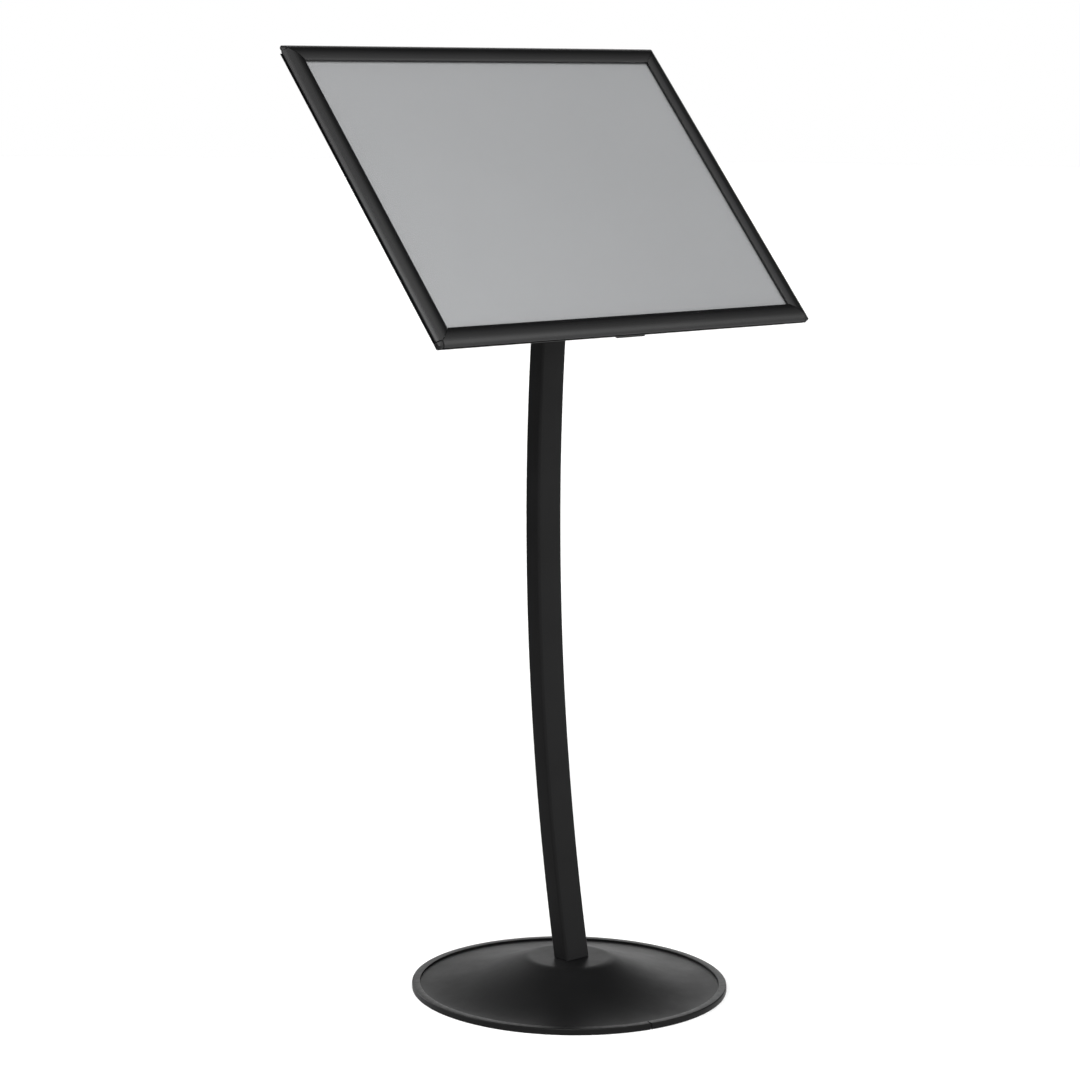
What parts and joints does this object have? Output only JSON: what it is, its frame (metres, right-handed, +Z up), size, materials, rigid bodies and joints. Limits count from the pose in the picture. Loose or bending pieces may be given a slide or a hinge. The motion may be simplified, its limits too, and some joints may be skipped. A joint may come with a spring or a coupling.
{
  "type": "sign stand",
  "caption": "Free-standing sign stand with a round domed base, a curved rectangular post and a tilted landscape snap frame whose cover strips hinge open to change the sheet.",
  "frame": {"origin": "on the floor at the centre of the round base", "axes": "-Y is the front, where the reader stands; +X is to the right as seen from the front; +Z is up"},
  "size_m": [0.6238, 0.4, 1.1817],
  "materials": {
    "black_powder_coat": "satin black powder coat on steel",
    "black_anodised_aluminium": "black anodised extrusion, satin",
    "black_rubber": "matt black rubber",
    "black_plastic": "moulded black plastic",
    "cast_iron": "rough casting with black primer",
    "zinc_steel": "bright zinc plate",
    "spring_steel": "tempered spring steel",
    "grey_paper": "plain grey poster paper",
    "clear_plastic": "clear anti-glare sheet"
  },
  "bodies": {
    "stand": {"base_dome": "black_powder_coat", "post_tube": "black_powder_coat", "head_plate": "black_powder_coat", "panel_strap": "black_powder_coat", "base_edge_trim": "black_rubber", "base_weight": "cast_iron", "base_clamp_plate": "zinc_steel", "base_bolt_left": "zinc_steel", "base_bolt_right": "zinc_steel", "base_lock_washer_left": "zinc_steel", "base_lock_washer_right": "zinc_steel", "post_foot_insert": "zinc_steel", "head_screw_1": "zinc_steel", "head_screw_2": "zinc_steel", "head_screw_3": "zinc_steel", "head_screw_4": "zinc_steel", "strap_screw_1": "zinc_steel", "strap_screw_2": "zinc_steel", "strap_screw_3": "zinc_steel", "strap_screw_4": "zinc_steel", "rail_bottom": "black_anodised_aluminium", "rail_right": "black_anodised_aluminium", "rail_top": "black_anodised_aluminium", "rail_left": "black_anodised_aluminium", "spring_bottom_1": "spring_steel", "spring_bottom_2": "spring_steel", "spring_bottom_3": "spring_steel", "spring_right_1": "spring_steel", "spring_right_2": "spring_steel", "spring_top_1": "spring_steel", "spring_top_2": "spring_steel", "spring_top_3": "spring_steel", "spring_left_1": "spring_steel", "spring_left_2": "spring_steel", "corner_key_bottom_left": "zinc_steel", "corner_key_bottom_right": "zinc_steel", "corner_key_top_right": "zinc_steel", "corner_key_top_left": "zinc_steel", "corner_cap_bottom_left": "black_plastic", "corner_cap_bottom_right": "black_plastic", "corner_cap_top_right": "black_plastic", "corner_cap_top_left": "black_plastic", "backing_panel": "black_plastic", "poster_sheet": "grey_paper", "clear_sheet": "clear_plastic"},
    "bottom_cover": {"cover_bottom": "black_anodised_aluminium"},
    "right_cover": {"cover_right": "black_anodised_aluminium"},
    "top_cover": {"cover_top": "black_anodised_aluminium"},
    "left_cover": {"cover_left": "black_anodised_aluminium"}
  },
  "joints": [
    {"name": "bottom_cover_hinge", "type": "hinge", "parent": "stand", "child": "bottom_cover", "pos_m": [0, -0.09893, 0.84305], "axis": [1, 0, 0], "range_deg": [0, 90]},
    {"name": "right_cover_hinge", "type": "hinge", "parent": "stand", "child": "right_cover", "pos_m": [0.3091, 0.04678, 1.01067], "axis": [0, 0.6561, 0.7547], "range_deg": [0, 90]},
    {"name": "top_cover_hinge", "type": "hinge", "parent": "stand", "child": "top_cover", "pos_m": [0, 0.19249, 1.17829], "axis": [-1, 0, 0], "range_deg": [0, 90]},
    {"name": "left_cover_hinge", "type": "hinge", "parent": "stand", "child": "left_cover", "pos_m": [-0.3091, 0.04678, 1.01067], "axis": [0, -0.6561, -0.7547], "range_deg": [0, 90]}
  ]
}
